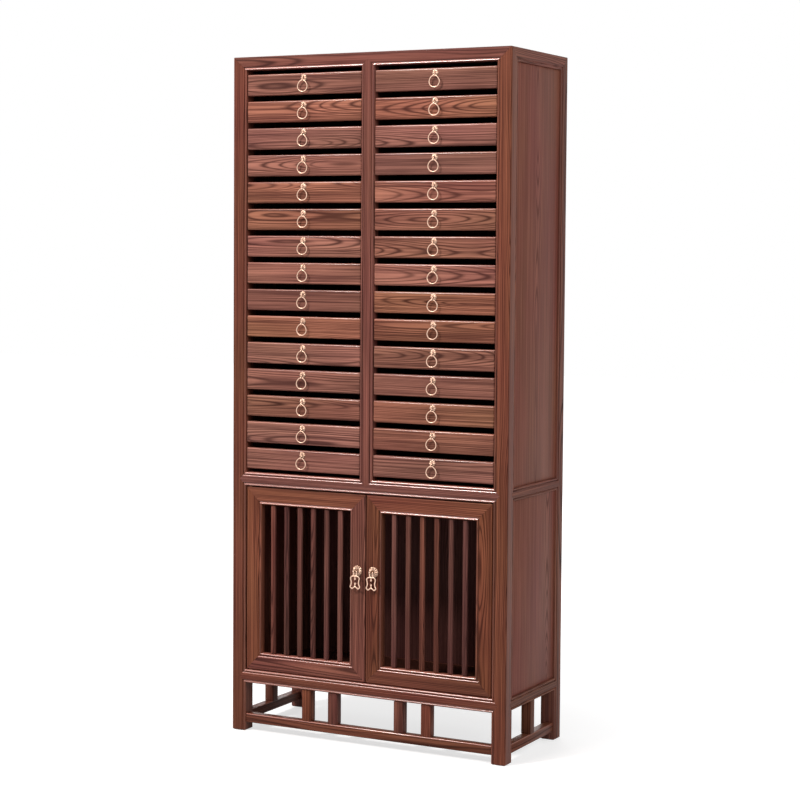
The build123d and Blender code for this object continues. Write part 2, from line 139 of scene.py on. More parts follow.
# Drawer pulls
ROSETTE = 9.3 * MM
ROSETTE_PETALS = 8
ROSETTE_BELOW_EDGE = 11.5 * MM
NECK_ROOT = 1.0 * MM
NECK_DROP = 4.03 * MM
NECK_WIDE = (2.6 * MM, 1.6 * MM)
EYE_DROP = 6.5 * MM
EYE_REACH = 7.5 * MM
EYE_LOOP = 3.0 * MM
EYE_WIRE = 1.5 * MM
EYE_WIDE = 3.0 * MM
RING = 14.9 * MM
RING_WIRE = 3.1 * MM
RING_GAP = 0.3 * MM
RING_PINCH = 0.22
RING_PEAR = 2.4
RING_SWAY = math.radians(3.5)

# Door pulls
PLATE = 14.5 * MM
PLATE_LOBES = 12
PIN_REACH = 12.2 * MM
PIN_HALF = 7.5 * MM
PIN_WIRE = 1.3 * MM
PIN_TIP = 0.6 * MM
BAND_WIDE = 3.5 * MM
BAND_THICK = 3.0 * MM
TONGUE_THICK = 0.85 * BAND_THICK
EAR_X = 4.8 * MM
EAR_LOOP = 2.0 * MM
EAR_WIDE = 1.5 * MM
EAR_THICK = 3.2 * MM

# Boss, stem and knob of a pull plate, in millimetres (radius, height above the door)
BOSS = (
    (4.6, 1.5), (4.6, 3.6), (4.1, 4.3), (3.2, 4.6), (2.9, 5.2), (2.4, 5.8), (2.4, 11.4),
    (3.0, 11.8), (3.3, 12.6), (3.0, 13.4), (1.8, 14.0), (0.3, 14.0),
)

# The pendant, in millimetres (right, up) from the pin: the right half of its band's centreline,
# the band's two middles, the heights of each tongue's root, tip and point with the widths
# between them, and the end of an ear as (right, out, up)
BAND_SIDE = (
    (4.6, -12.2), (9.3, -13.3), (12.6, -17.2), (11.6, -23.0), (10.7, -28.5),
    (11.6, -34.6), (14.0, -40.3), (11.2, -43.4), (8.6, -45.0), (5.0, -42.4),
)
BAND_MIDDLES = ((0, -12.0), (0, -39.9))
TONGUES = ((-12.5, -19.3, -23.0), (-40.5, -32.0, -28.6))
TONGUE_WIDE = (3.6, 2.4, 4.4, 6.6, 0.8)
EAR_TAIL = ((0, -0.6, -4.0), (0, 0, -11.6))

# Where a board lay in its tree: how far the pith strays sideways, and how deep below the face
PITH_SPREAD = 0.09
PITH_DEPTH = (0.012, 0.045)

# Boards whose tone is shifted from the rest: how much lighter, and how much warmer. Most shifts
# are stains; the back panels' darkness is painted shade and the slats' coolness painted sheen
STAINS_AND_PAINTED_LIGHT = {
    "front_top_rail": (-0.6, 0.0),
    "front_middle_rail": (0.3, -1.2),
    "rear_posts": (-0.45, 0.0),
    # Painted shade: the back panels are darkened to the shade inside the cabinet
    "back_panels": (-1.1, 0.0),
    # Painted sheen: the slats are made cooler and greyer, and also darker by stain
    "left_door_slats": (-0.65, -0.5),
    "right_door_slats": (-0.65, -0.5),
}

# Edges sharper than this stay crisp
CREASE = math.radians(40)


def pinned(points, along):
    """A ring of a member: its section points, each at its own place along the wood."""
    return np.c_[points, np.broadcast_to(along, len(points))]


class Joinery:
    """Closed wooden or metal bodies of one piece, gathered as arrays until they become a mesh.

    Every point keeps its place in its own board, along, across and into the wood, as the
    attribute "grain". The attribute "board" holds that board's lightness and warmth, which
    are chance values plus the piece's shift: a stain, but painted shade on the back panels and
    painted sheen on the slats. Its third value is the shine: on wood coat gloss with a painted
    highlight, on brass bright metal where high and painted shade where low. The name seeds the
    chances.
    """

    def __init__(self, name):
        self.name = name
        # Lightness and warmth shifts: stains, with painted shade on the back panels and painted
        # sheen on the slats
        self.stain_and_painted_light = STAINS_AND_PAINTED_LIGHT.get(name, (0.0, 0.0))
        self.points, self.grain, self.board, self.faces = [], [], [], []
        self.total = 0

    def add(self, rings, origin, axes, looped=False, flat_sawn=0.5, shine=0.0):
        """Adds the surface through rings of (across, deep, along) points.

        Each ring is closed. The first and last ring are capped with a face, or with looped
        they are joined to each other. Axes are the world directions of the three values.
        Flat sawn is 1 where the pith lies behind the middle of the face, and less the further
        aside it may lie. Shine is one value, one for each point of a ring, or one for every
        point.
        """
        rings = np.asarray(rings, float)
        count, around = rings.shape[:2]
        local = rings.reshape(-1, 3)
        steps = np.arange(count if looped else count - 1)[:, None]
        here = np.arange(around)[None, :]
        after = (here + 1) % around
        beyond = (steps + 1) % count
        quads = np.stack(
            np.broadcast_arrays(
                steps * around + here, steps * around + after,
                beyond * around + after, beyond * around + here,
            ),
            axis=-1,
        ).reshape(-1, 4) + self.total
        self.faces += quads.tolist()
        if not looped:
            cap = self.total + np.arange(around)
            self.faces += [cap[::-1].tolist(), (cap + (count - 1) * around).tolist()]
        chance = np.random.default_rng([len(self.points), *self.name.encode()])
        pith_side = chance.normal() * (1 - flat_sawn) * PITH_SPREAD
        shift = np.array([chance.uniform(0, 30), pith_side, chance.uniform(*PITH_DEPTH)])
        middle = (local.min(0) + local.max(0)) / 2
        self.points.append(np.asarray(origin, float) + local @ np.asarray(axes, float))
        self.grain.append(local[:, (2, 0, 1)] - [0, middle[0], 0] + shift)
        board = np.tile(chance.uniform(0, 1, 3) + (*self.stain_and_painted_light, 0), (len(local), 1))
        board[:, 2] = np.broadcast_to(shine, (count, around)).ravel()
        self.board.append(board)
        self.total += len(local)

    def plank(self, low, high, axis, edge=BOX_ROUND, flat_sawn=0.5, top_shine=0.0):
        """Adds a straight board between two corners, with its grain along an axis.

        Its section is a rectangle with quarter-round corners, and each end is drawn in by
        the same radius. Top shine is the coat gloss and painted highlight on its upper rounded
        edges.
        """
        low, high = np.asarray(low, float), np.asarray(high, float)
        size = high - low
        across, deep = sorted((i for i in range(3) if i != axis), key=lambda i: -size[i])
        turn = np.linspace(0, np.pi / 2, 4)
        rings = []
        for inset, along in (
            (edge, 0.0), (edge * 0.3, edge * 0.3), (0.0, edge),
            (0.0, size[axis] - edge), (edge * 0.3, size[axis] - edge * 0.3), (edge, size[axis]),
        ):
            half = size[[across, deep]] / 2 - inset
            corner = np.c_[np.cos(turn), np.sin(turn)] * edge
            quarter = corner + half - edge
            ring = np.vstack([
                quarter, (quarter * (-1, 1))[::-1], quarter * (-1, -1), (quarter * (1, -1))[::-1],
            ]) + size[[across, deep]] / 2
            rings.append(pinned(ring, along))
        rings = np.array(rings)
        axes = np.eye(3)[[across, deep, axis]]
        lift = (rings @ axes)[:, :, 2]
        # Coat gloss and painted highlight on the upper rounded edges, which face up to the light
        upper = (lift > size[2] - edge * 0.99) & (lift < size[2] - edge * 0.01)
        self.add(rings, low, axes, flat_sawn=flat_sawn, shine=top_shine * upper)

    def piece(self, body, slot, finish, node):
        """Makes the mesh object, with outward normals, and fastens it to its CAD body.

        It stands for a CAD node. Where it was made under that node's own name, _look is added.
        Finish holds the material of every slot.
        """
        name = f"{node}_look" if self.name == node else self.name
        mesh = bpy.data.meshes.new(name)
        mesh.from_pydata(np.vstack(self.points), [], self.faces)
        for kind, values in (("grain", self.grain), ("board", self.board)):
            attribute = mesh.attributes.new(kind, "FLOAT_VECTOR", "POINT")
            attribute.data.foreach_set("vector", np.vstack(values).astype(np.float32).ravel())
        loose = bmesh.new()
        loose.from_mesh(mesh)
        bmesh.ops.recalc_face_normals(loose, faces=loose.faces)
        loose.to_mesh(mesh)
        loose.free()
        mesh.shade_smooth()
        mesh.set_sharp_from_angle(angle=CREASE)
        mesh.materials.append(finish[slot])
        made = bpy.data.objects.new(name, mesh)
        bpy.context.scene.collection.objects.link(made)
        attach(made, body)
        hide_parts(node)


# Sections of the frame members

def bead_edge():
    """Points (across, deep) of a beaded edge, from the edge inwards.

    A half circle makes the bead, a flat floor the groove, and a quarter ellipse rises from
    the groove's wall to the field.
    """
    turn = np.linspace(0, np.pi, 9)
    bead = BEAD / 2 * np.c_[1 - np.cos(turn), 1 - np.sin(turn)]
    start = BEAD + GROOVE
    rise = np.linspace(0, np.pi / 2, 5)
    field = np.c_[start + FIELD_EDGE * (1 - np.cos(rise)), FIELD_DROP * (1 - np.sin(rise))]
    return np.vstack([bead, [[start, BEAD / 2]], field])


def round_edge(radius=ARRIS):
    """Points (across, deep) of a rounded edge, from the side inwards: a quarter circle."""
    turn = np.linspace(0, np.pi / 2, 6)
    return radius * np.c_[1 - np.cos(turn), 1 - np.sin(turn)]


def crowned(points, width):
    """The points sunk by the crown, which grows with the square of the distance from the middle."""
    sunk = points.copy()
    sunk[:, 1] += CROWN * (2 * points[:, 0] / width - 1) ** 2
    return sunk


def show_face(width, first, last, marks=()):
    """Points across a show face from its first edge to its last, with a crowned field between.

    Marks are further places in the field, where a notch changes.
    """
    start, end = first[-1, 0], width - last[-1, 0]
    field = np.linspace(start, end, 9)[1:-1]
    field = np.unique(np.r_[field, [m for m in marks if start < m < end]])
    other = last[::-1] * (-1, 1) + (width, 0)
    return crowned(np.vstack([first, np.c_[field, 0 * field], other]), width)


def painted_highlight_and_gloss(down, width, upper_shine, lower_shine):
    """How shiny the points of a level member are, where its beads and its field's edge look up.

    Down is each point's distance below the upper edge, and infinite off the show face. The
    upper edge shines on the bead's upper half and the field's edge, the lower one on its bead.
    Shine brings coat gloss and a painted highlight.
    """
    field = BEAD + GROOVE
    at_top = (down <= BEAD / 2) | ((down > field) & (down < field + PAINTED_FIELD_HIGHLIGHT))
    up = width - down
    at_foot = (up >= BEAD / 2) & (up <= BEAD)
    return upper_shine * at_top + lower_shine * at_foot


def member_section(width, deep, first, last, marks=()):
    """(closed section, distance of each point from the first edge; infinite off the show face)."""
    face = show_face(width, first, last, marks)
    back = np.array([
        (width, deep - HIDDEN_ARRIS), (width - HIDDEN_ARRIS, deep),
        (HIDDEN_ARRIS, deep), (0, deep - HIDDEN_ARRIS),
    ])
    reach = np.r_[face[:, 0], np.full(len(back), np.inf)]
    return np.vstack([face, back]), reach


def post_section(side_half):
    """(section, reach, inward, at_side) of a post with a bead on each of its two show faces.

    Across runs from the post's inner side to its outer side, and deep runs into the cabinet.
    The second show face is the first one mirrored in the outer corner's diagonal. Reach is the
    distance from a show face's inner edge, inward is the direction into the wood, and at_side
    is true for the second face's points.
    """
    arc = np.linspace(0, np.pi / 2, 7)
    start = POST - ARRIS
    drop = CROWN * (2 * start / POST - 1) ** 2
    corner = np.c_[np.sin(arc), -np.cos(arc)] * (ARRIS - drop) + (start, ARRIS)
    marks = (RAIL / 2 - NOTCH_RAMP, RAIL / 2, side_half - NOTCH_RAMP, side_half)
    face = show_face(POST, bead_edge(), np.array([[ARRIS, 0.0]]), marks)[:-1]
    second = (POST - face[:, ::-1])[::-1]
    hidden = np.array([(HIDDEN_ARRIS, POST), (0.0, POST - HIDDEN_ARRIS)])
    section = np.vstack([face, corner, second, hidden])
    off = np.full(len(corner), np.inf)
    reach = np.r_[face[:, 0], off, face[::-1, 0], np.full(len(hidden), np.inf)]
    at_side = np.arange(len(section)) >= len(face) + len(corner) // 2
    inward = np.where(at_side[:, None], (-1.0, 0.0), (0.0, 1.0))
    return section, reach, inward, at_side


def notch(section, centre, half, reach, inward):
    """Four rings that sink a pointed notch for another member's shoulder into a show face.

    Its half length along the wood is half at the edge, and shrinks by as much as a point's
    distance from that edge, to nothing at the tip.
    """
    lean = np.clip(half - reach, 0, None)
    sunk = section + (NOTCH_DEEP * np.clip(lean / NOTCH_RAMP, 0, 1))[:, None] * inward
    narrow = lean + SEAM
    wide = narrow + NOTCH_WALL
    return [
        pinned(section, centre - wide), pinned(sunk, centre - narrow),
        pinned(sunk, centre + narrow), pinned(section, centre + wide),
    ]


def shoulder(reach, width):
    """How far a pointed shoulder runs past its member's end: the distance from the nearer edge."""
    return np.where(np.isfinite(reach), np.minimum(reach, width - reach), 0)


# Frame members

def posts(name, near_y, deep_sign, rails_on_face):
    """A pair of posts, notched for the rails, and cut at the top as an arm of a three-way mitre.

    A point is cut by its distance from the further of the two show faces, times the rail's
    height over the post's width.
    """
    made = Joinery(name)
    section, reach, inward, at_side = post_section(SIDE_RAIL / 2)
    shine = UPRIGHT_SHINE * (reach <= BEAD)
    # The front posts' outer show faces get a little coat gloss and painted highlight
    if rails_on_face:
        shine = np.where(at_side & np.isfinite(reach), OUTER_SHINE, shine)
    mitre = np.maximum(POST - section[:, 0], section[:, 1]) * RAIL / POST
    foot = (section - POST / 2) * (1 - 3 * BASE_ROUND / POST) + POST / 2
    face_half = RAIL / 2 if rails_on_face else 0.0
    rings = [pinned(foot, 0), pinned(section, BASE_ROUND)]
    for top in (BOTTOM_HIGH, MIDDLE_HIGH):
        centre = np.where(at_side, top - SIDE_RAIL / 2, top - RAIL / 2)
        half = np.where(at_side, SIDE_RAIL / 2, face_half)
        rings += notch(section, centre, half, reach, inward)
    rings.append(pinned(section, HEIGHT - mitre - SEAM))
    for side in SIDES.values():
        axes = ((side, 0, 0), (0, deep_sign, 0), (0, 0, 1))
        made.add(rings, (side * INNER_X, near_y, 0), axes, flat_sawn=0.2, shine=shine)
    return made


def top_rail(made, face_y, deep_sign):
    """Rail along the top, mitred at both ends, with a notch for the mullion where there is one.

    A point is cut at both ends by its depth, or by its distance from the top times the post's
    width over the rail's height, whichever is larger.
    """
    half = MULLION / 2
    marks = (RAIL - half, RAIL - half + NOTCH_RAMP)
    section, reach = member_section(RAIL, POST, round_edge(), bead_edge(), marks)
    mitre = np.maximum(section[:, 1], section[:, 0] * POST / RAIL) + SEAM
    rings = [pinned(section, mitre - SIDE_X)]
    if deep_sign > 0:
        from_below = np.where(np.isfinite(reach), RAIL - reach, np.inf)
        rings += notch(section, 0, half, from_below, np.array([0.0, 1.0]))
    rings.append(pinned(section, SIDE_X - mitre))
    axes = ((0, 0, -1), (0, deep_sign, 0), (1, 0, 0))
    shine = painted_highlight_and_gloss(reach, RAIL, *TOP_RAIL_SHINE)
    made.add(rings, (0, face_y, HEIGHT), axes, flat_sawn=0.7, shine=shine)
    return made


def front_rail(name, top, under_mullion, edge_shine):
    """Rail between the front posts, with pointed shoulders, and a notch under the mullion."""
    made = Joinery(name)
    half = MULLION / 2
    marks = (half - NOTCH_RAMP, half)
    section, reach = member_section(RAIL, POST, bead_edge(), bead_edge(), marks)
    end = INNER_X + shoulder(reach, RAIL)
    rings = [pinned(section, -end)]
    if under_mullion:
        rings += notch(section, 0, half, reach, np.array([0.0, 1.0]))
    rings.append(pinned(section, end))
    axes = ((0, 0, -1), (0, 1, 0), (1, 0, 0))
    shine = painted_highlight_and_gloss(reach, RAIL, *edge_shine)
    made.add(rings, (0, FRONT_Y, top), axes, flat_sawn=0.4, shine=shine)
    return made


def side_rails(name, top):
    """Rails between the posts of each side, with pointed shoulders at both ends."""
    made = Joinery(name)
    section, reach = member_section(SIDE_RAIL, POST, bead_edge(), bead_edge(), (SIDE_RAIL / 2,))
    past = shoulder(reach, SIDE_RAIL) - POST
    rings = [pinned(section, FRONT_Y - past), pinned(section, BACK_Y + past)]
    for side in SIDES.values():
        axes = ((0, 0, -1), (-side, 0, 0), (0, 1, 0))
        made.add(rings, (side * SIDE_X, 0, top), axes)
    return made


def side_top_rails(name):
    """Top rails of the two sides, cut as arms of the three-way mitres."""
    made = Joinery(name)
    section, _ = member_section(RAIL, POST, round_edge(), bead_edge())
    mitre = np.maximum(section[:, 1], section[:, 0] * POST / RAIL) + SEAM
    rings = [pinned(section, FRONT_Y + mitre), pinned(section, BACK_Y - mitre)]
    for side in SIDES.values():
        axes = ((0, 0, -1), (-side, 0, 0), (0, 1, 0))
        made.add(rings, (side * SIDE_X, 0, HEIGHT), axes)
    return made


def mullion(name):
    """Upright between the drawer columns, with a pointed shoulder at each end."""
    made = Joinery(name)
    section, reach = member_section(
        MULLION, MULLION_DEEP, bead_edge(), bead_edge(), (MULLION / 2,)
    )
    past = shoulder(reach, MULLION)
    rings = [pinned(section, MIDDLE_HIGH - past), pinned(section, TOP_LOW + past)]
    shine = UPRIGHT_SHINE * (np.minimum(reach, np.abs(MULLION - reach)) <= BEAD)
    made.add(rings, (-MULLION / 2, FRONT_Y, 0), np.eye(3), flat_sawn=0.3, shine=shine)
    return made


def rear_rails(name):
    """The rear's mitred top rail and two plain rails."""
    made = top_rail(Joinery(name), BACK_Y, -1)
    for top in (MIDDLE_HIGH, BOTTOM_HIGH):
        low = (-INNER_X, BACK_Y - REAR_RAIL, top - RAIL)
        made.plank(low, (INNER_X, BACK_Y, top), ALONG_X, ARRIS / 2)
    return made


def base_stretchers(name):
    """Rounded bars near the floor, at the front and the sides."""
    made = Joinery(name)
    made.plank(
        (-INNER_X, BASE_LOW[1], BASE_LOW[2]),
        (INNER_X, BASE_LOW[1] + STRUT, BASE_HIGH[2]),
        ALONG_X, BASE_ROUND, flat_sawn=0.2, top_shine=FRONT_STRETCHER_SHINE,
    )
    for side in SIDES.values():
        across = sorted((side * BASE_HIGH[0], side * (BASE_HIGH[0] - STRUT)))
        made.plank(
            (across[0], FRONT_Y + POST, BASE_LOW[2]),
            (across[1], BASE_HIGH[1], BASE_HIGH[2]),
            ALONG_Y, BASE_ROUND, flat_sawn=0.2, top_shine=SIDE_STRETCHER_SHINE,
        )
    return made


def base_struts(name):
    """Short uprights between the stretchers and the bottom rails."""
    made = Joinery(name)
    for side in SIDES.values():
        for place in STRUT_X:
            middle = side * place
            made.plank(
                (middle - STRUT / 2, BASE_LOW[1], BASE_HIGH[2]),
                (middle + STRUT / 2, BASE_LOW[1] + STRUT, BOTTOM_LOW),
                ALONG_Z, BASE_ROUND / 2, flat_sawn=0.2,
            )
        across = sorted((side * BASE_HIGH[0], side * (BASE_HIGH[0] - STRUT)))
        middle = (FRONT_Y + BACK_Y) / 2
        made.plank(
            (across[0], middle - STRUT / 2, BASE_HIGH[2]),
            (across[1], middle + STRUT / 2, BOTTOM_HIGH - SIDE_RAIL),
            ALONG_Z, BASE_ROUND / 2, flat_sawn=0.2,
        )
    return made


def paired_panels(name):
    """A panel on each side, with upright grain, from one edge of the node's box to the other."""
    made = Joinery(name)
    low, high = corners(name)
    for side in SIDES.values():
        across = sorted((side * high[0], side * (high[0] - SIDE_PANEL)))
        made.plank((across[0], low[1], low[2]), (across[1], high[1], high[2]), ALONG_Z)
    return made


def back_panels(name):
    """Upper and lower panels of the back."""
    made = Joinery(name)
    low, high = corners(name)
    for bottom, top in ((MIDDLE_HIGH, TOP_LOW), (BOTTOM_HIGH, MIDDLE_LOW)):
        made.plank((low[0], low[1], bottom), (high[0], high[1], top), ALONG_Z)
    return made


def whole_board(name, axis):
    """One board that fills the node's box."""
    made = Joinery(name)
    low, high = corners(name)
    made.plank(low, high, axis)
    return made


# Drawers

def pillow(width, height, thick, radius):
    """Rings of a board whose show face has quarter-round edges with ball corners.

    Its depth is radius minus the root of radius squared less a squared less b squared, where
    a and b say how far a point is inside the radius of a level and of an upright edge.
    """
    turn = radius * (1 - np.cos(np.linspace(0, np.pi / 2, 6)))
    level = np.r_[turn, np.linspace(radius, height - radius, 5)[1:-1], height - turn[::-1]]
    length = np.r_[turn, np.linspace(radius, width - radius, 5)[1:-1], width - turn[::-1]]
    length = length[:, None]
    a, b = (np.clip(radius - np.minimum(v, v.max() - v), 0, None) for v in (level, length))
    depth = radius - np.sqrt(np.clip(radius**2 - a**2 - b**2, 0, None))
    face = np.stack(np.broadcast_arrays(level, depth, length), axis=-1)
    back = np.stack(np.broadcast_arrays([height, 0], thick, length), axis=-1)
    return np.concatenate([face, back], axis=1)


def drawer(name):
    """The front, the box behind it and the pull, all riding on the drawer's body."""
    low, high = corners(name)
    face_y = FRONT_Y + DRAWER_RECESS
    width, height = high[0] - low[0], high[2] - low[2]
    front = Joinery(f"{name}_front")
    rings = pillow(width, height, DRAWER_FRONT, DRAWER_ROUND)
    up, deep = rings[0, :, 0], rings[0, :, 1]
    # Coat gloss and painted highlight along the front's upper rounded edge, which faces up
    shine = DRAWER_SHINE * ((up > height - 0.8 * DRAWER_ROUND) & (deep < 1.1 * DRAWER_ROUND))
    axes = ((0, 0, 1), (0, 1, 0), (1, 0, 0))
    chance = np.random.default_rng(list(name.encode())).uniform()
    figure = ARCHED if chance < ARCHED_SHARE else STRAIGHT
    front.add(rings, (low[0], face_y, low[2]), axes, flat_sawn=figure, shine=shine)
    box = Joinery(f"{name}_box")
    start_y, end_y = face_y + DRAWER_FRONT, high[1]
    base, rim = low[2] + DRAWER_LIFT, low[2] + DRAWER_LIFT + DRAWER_WALL_HIGH
    middle_x, middle_z = (low[0] + high[0]) / 2, (low[2] + high[2]) / 2
    wall_out = width / 2 - WALL_SETBACK
    wall_in = wall_out - DRAWER_WALL
    for side in SIDES.values():
        wall = sorted((middle_x + side * wall_in, middle_x + side * wall_out))
        box.plank((wall[0], start_y, base), (wall[1], end_y, rim), ALONG_Y)
        strip = sorted((middle_x + side * wall_out, middle_x + side * width / 2))
        for guide in (middle_z - RUNNER_SPACE / 2 - GUIDE, middle_z + RUNNER_SPACE / 2):
            box.plank((strip[0], start_y, guide), (strip[1], end_y, guide + GUIDE), ALONG_Y)
    left, right = middle_x - wall_in, middle_x + wall_in
    rear_y = end_y - DRAWER_WALL
    box.plank((left, rear_y, base), (right, end_y, rim), ALONG_X)
    box.plank((left, start_y, base), (right, rear_y, base + DRAWER_FLOOR), ALONG_Y)
    pull = drawer_pull(f"{name}_pull", (middle_x, face_y, high[2] - ROSETTE_BELOW_EDGE))
    return front, box, pull


# Metal pulls. Their points are (right, out of the face, up)

OUTWARD = ((1, 0, 0), (0, -1, 0), (0, 0, 1))
SIDEWAYS, FACING = (1, 0, 0), (0, 1, 0)


def full_turn(count):
    """Evenly spaced angles once round a circle."""
    return np.linspace(0, 2 * np.pi, count, endpoint=False)


def wear_and_painted_shade(rings):
    """Bar brightness: full at the outermost, half in the middle, less behind as painted shade."""
    out = rings[:, :, 1] - rings[:, :, 1].mean(1)[:, None]
    return 0.5 + 0.5 * out / np.abs(out).max()


def ribbon(path, normal, wide, thick, looped=False, square=2.0):
    """Rings of a bar along a flat path.

    The section is a superellipse, half of wide across the path in its plane and half of
    thick along the plane's normal. A higher square makes it squarer.
    """
    path, normal = np.asarray(path, float), np.asarray(normal, float)
    if looped:
        ahead = np.roll(path, -1, 0) - np.roll(path, 1, 0)
    else:
        ahead = np.gradient(path, axis=0)
    ahead /= np.linalg.norm(ahead, axis=1)[:, None]
    aside = np.cross(normal, ahead)
    turn = full_turn(12)
    flat, tall = (
        np.sign(wave) * np.abs(wave) ** (2 / square) for wave in (np.cos(turn), np.sin(turn))
    )
    wide, thick = (np.broadcast_to(v, len(path))[:, None, None] / 2 for v in (wide, thick))
    return (
        path[:, None] + wide * flat[None, :, None] * aside[:, None]
        + thick * tall[None, :, None] * normal
    )


def bar(made, rings, centre, looped=False):
    """Adds a metal bar to a piece, bright on its outer side, with painted shade on flanks and back.
    """
    made.add(rings, centre, OUTWARD, looped, shine=wear_and_painted_shade(rings))


def turned(profile, centre, axis, around=24):
    """Rings of a turned part: each (radius, height) of the profile makes a circle on the axis."""
    radius, height = np.asarray(profile, float).T
    turn = full_turn(around)
    axis = np.asarray(axis, float)
    first = np.eye(3)[(np.argmax(np.abs(axis)) + 1) % 3]
    second = np.cross(axis, first)
    circle = np.cos(turn)[:, None] * first + np.sin(turn)[:, None] * second
    return np.asarray(centre) + radius[:, None, None] * circle + height[:, None, None] * axis


def flower(radius, lobes, notch_deep, rim, dome, relief, hub, least, most):
    """(rings, shine) of a domed plate with lobes, from its back over the rim to the hub.

    The outline's radius falls by notch_deep between lobes, with the absolute cosine of half
    the lobe angle. The height is the rim, plus the dome times one less the square of the
    share of the radius, plus petals that swell half way out. The shine runs from its least
    in the hollows to its most on the petals; where low it browns them as film and painted shade.
    """
    turn = full_turn(lobes * 8)
    petal = np.abs(np.cos(turn * lobes / 2))
    outline = radius * (1 - notch_deep * (1 - petal))
    share = np.r_[1.0, 1.0, np.linspace(0.97, hub, 9)]
    height = rim + dome * (1 - share**2)
    height[:2] = 0, rim * 0.7
    swell = relief * np.sin(np.pi * np.clip((1 - share) / (1 - hub), 0, 1)) ** 0.8
    up = height[:, None] + swell[:, None] * (petal - 0.5)[None, :]
    flat = share[:, None] * outline[None, :]
    raised = np.clip(swell[:, None] / relief * petal[None, :], 0, 1)
    # Low shine in the hollows browns them: film and painted shade
    shine = np.maximum(most * (0.2 + 0.8 * raised), least)
    return np.stack([flat * np.sin(turn), up, flat * np.cos(turn)], axis=-1), shine


def drawer_pull(name, centre):
    """Small domed rosette, an eye that droops from it and a pear-shaped ring in the eye.

    The neck is a quarter ellipse and the eye a circle. The ring is a circle that is pinched
    sideways towards its top, by a power of half of one plus the cosine of the angle.
    """
    made = Joinery(name)
    chance = np.random.default_rng(list(name.encode()))
    petals, shine = flower(
        ROSETTE, ROSETTE_PETALS, notch_deep=0.16, rim=1.0 * MM, dome=1.8 * MM, relief=0.9 * MM,
        hub=0.12, least=0.68, most=1.0,
    )
    made.add(petals, centre, OUTWARD, shine=shine)
    bend = np.linspace(0, np.pi / 2, 7)
    knee = EYE_REACH - EYE_LOOP / 2
    neck = np.c_[0 * bend, knee * np.sin(bend) + NECK_ROOT, NECK_DROP * (np.cos(bend) - 1)]
    bar(made, ribbon(neck, SIDEWAYS, np.linspace(*NECK_WIDE, len(neck)), EYE_WIDE), centre)
    turn = full_turn(20)
    loop = np.c_[0 * turn, EYE_LOOP * np.sin(turn), EYE_LOOP * np.cos(turn)]
    loop += (0, EYE_REACH, -EYE_DROP)
    bar(made, ribbon(loop, SIDEWAYS, EYE_WIRE, EYE_WIDE, True), centre, True)
    turn = full_turn(56)
    pinch = 1 - RING_PINCH * ((1 + np.cos(turn)) / 2) ** RING_PEAR
    ring = np.c_[RING * np.sin(turn) * pinch, 0 * turn, RING * (np.cos(turn) - 1)]
    sway = chance.uniform(-RING_SWAY, RING_SWAY)
    swung = ring @ np.array(Matrix.Rotation(sway, 3, "Y"))
    swung += (0, EYE_REACH, -EYE_DROP - RING_GAP)
    bar(made, ribbon(swung, FACING, RING_WIRE, RING_WIRE, True), centre, True)
    return made


def pull_plate(name, centre):
    """Scalloped plate with a boss, and a stem that carries the cross pin."""
    made = Joinery(name)
    petals, shine = flower(
        PLATE, PLATE_LOBES, notch_deep=0.075, rim=1.2 * MM, dome=2.4 * MM, relief=1.3 * MM,
        hub=0.25, least=0.66, most=0.95,
    )
    made.add(petals, centre, OUTWARD, shine=shine)
    # A middling shine browns the boss: painted shade
    made.add(turned(np.array(BOSS) * MM, (0, 0, 0), FACING), centre, OUTWARD, shine=0.5)
    pin = [
        (PIN_WIRE - PIN_TIP, -PIN_HALF), (PIN_WIRE, PIN_TIP - PIN_HALF),
        (PIN_WIRE, PIN_HALF - PIN_TIP), (PIN_WIRE - PIN_TIP, PIN_HALF),
    ]
    bar(made, turned(pin, (0, PIN_REACH, 0), SIDEWAYS, 12), centre)
    return made


def smooth_loop(points, per_span=6):
    """Points along a closed Catmull-Rom curve, whose spans are cubics through the points."""
    points = np.asarray(points, float)
    before, after, later = (np.roll(points, shift, 0) for shift in (1, -1, -2))
    t = np.linspace(0, 1, per_span, endpoint=False)[None, :, None]
    a, b, c, d = (v[:, None] for v in (before, points, after, later))
    curve = 0.5 * (
        2 * b + (c - a) * t + (2 * a - 5 * b + 4 * c - d) * t**2 + (3 * b - a - 3 * c + d) * t**3
    )
    return curve.reshape(-1, points.shape[1])


def pendant(name, centre):
    """Openwork drop: a waisted band with a spade-shaped tongue at each end, hung by two ears.

    The band is a smooth loop through its points, a tongue is a straight bar whose width
    changes, and an ear is a half circle with a tail.
    """
    made = Joinery(name)
    right, middles = np.array(BAND_SIDE) * MM, np.array(BAND_MIDDLES) * MM
    flat = smooth_loop(np.vstack([middles[:1], right, middles[1:], (right * (-1, 1))[::-1]]))
    band = np.c_[flat[:, 0], 0 * flat[:, 0], flat[:, 1]]
    bar(made, ribbon(band, FACING, BAND_WIDE, BAND_THICK, True, square=2.6), centre, True)
    wide = np.array(TONGUE_WIDE) * MM
    for root, tip, point in TONGUES:
        level = np.array([root, (root + tip) / 2, tip + (root - tip) * 0.16, tip, point]) * MM
        spade = np.c_[0 * level, 0 * level, level]
        bar(made, ribbon(spade, FACING, wide, TONGUE_THICK, square=2.4), centre)
    bend = np.linspace(0, np.pi, 9)
    hook = np.c_[0 * bend, EAR_LOOP * np.sin(bend), EAR_LOOP * np.cos(bend)]
    hook = np.vstack([hook, np.array(EAR_TAIL) * MM])
    for side in SIDES.values():
        ear = hook + (side * EAR_X, 0, 0)
        bar(made, ribbon(ear, SIDEWAYS, EAR_WIDE, EAR_THICK, square=2.6), centre)
    return made


# Doors

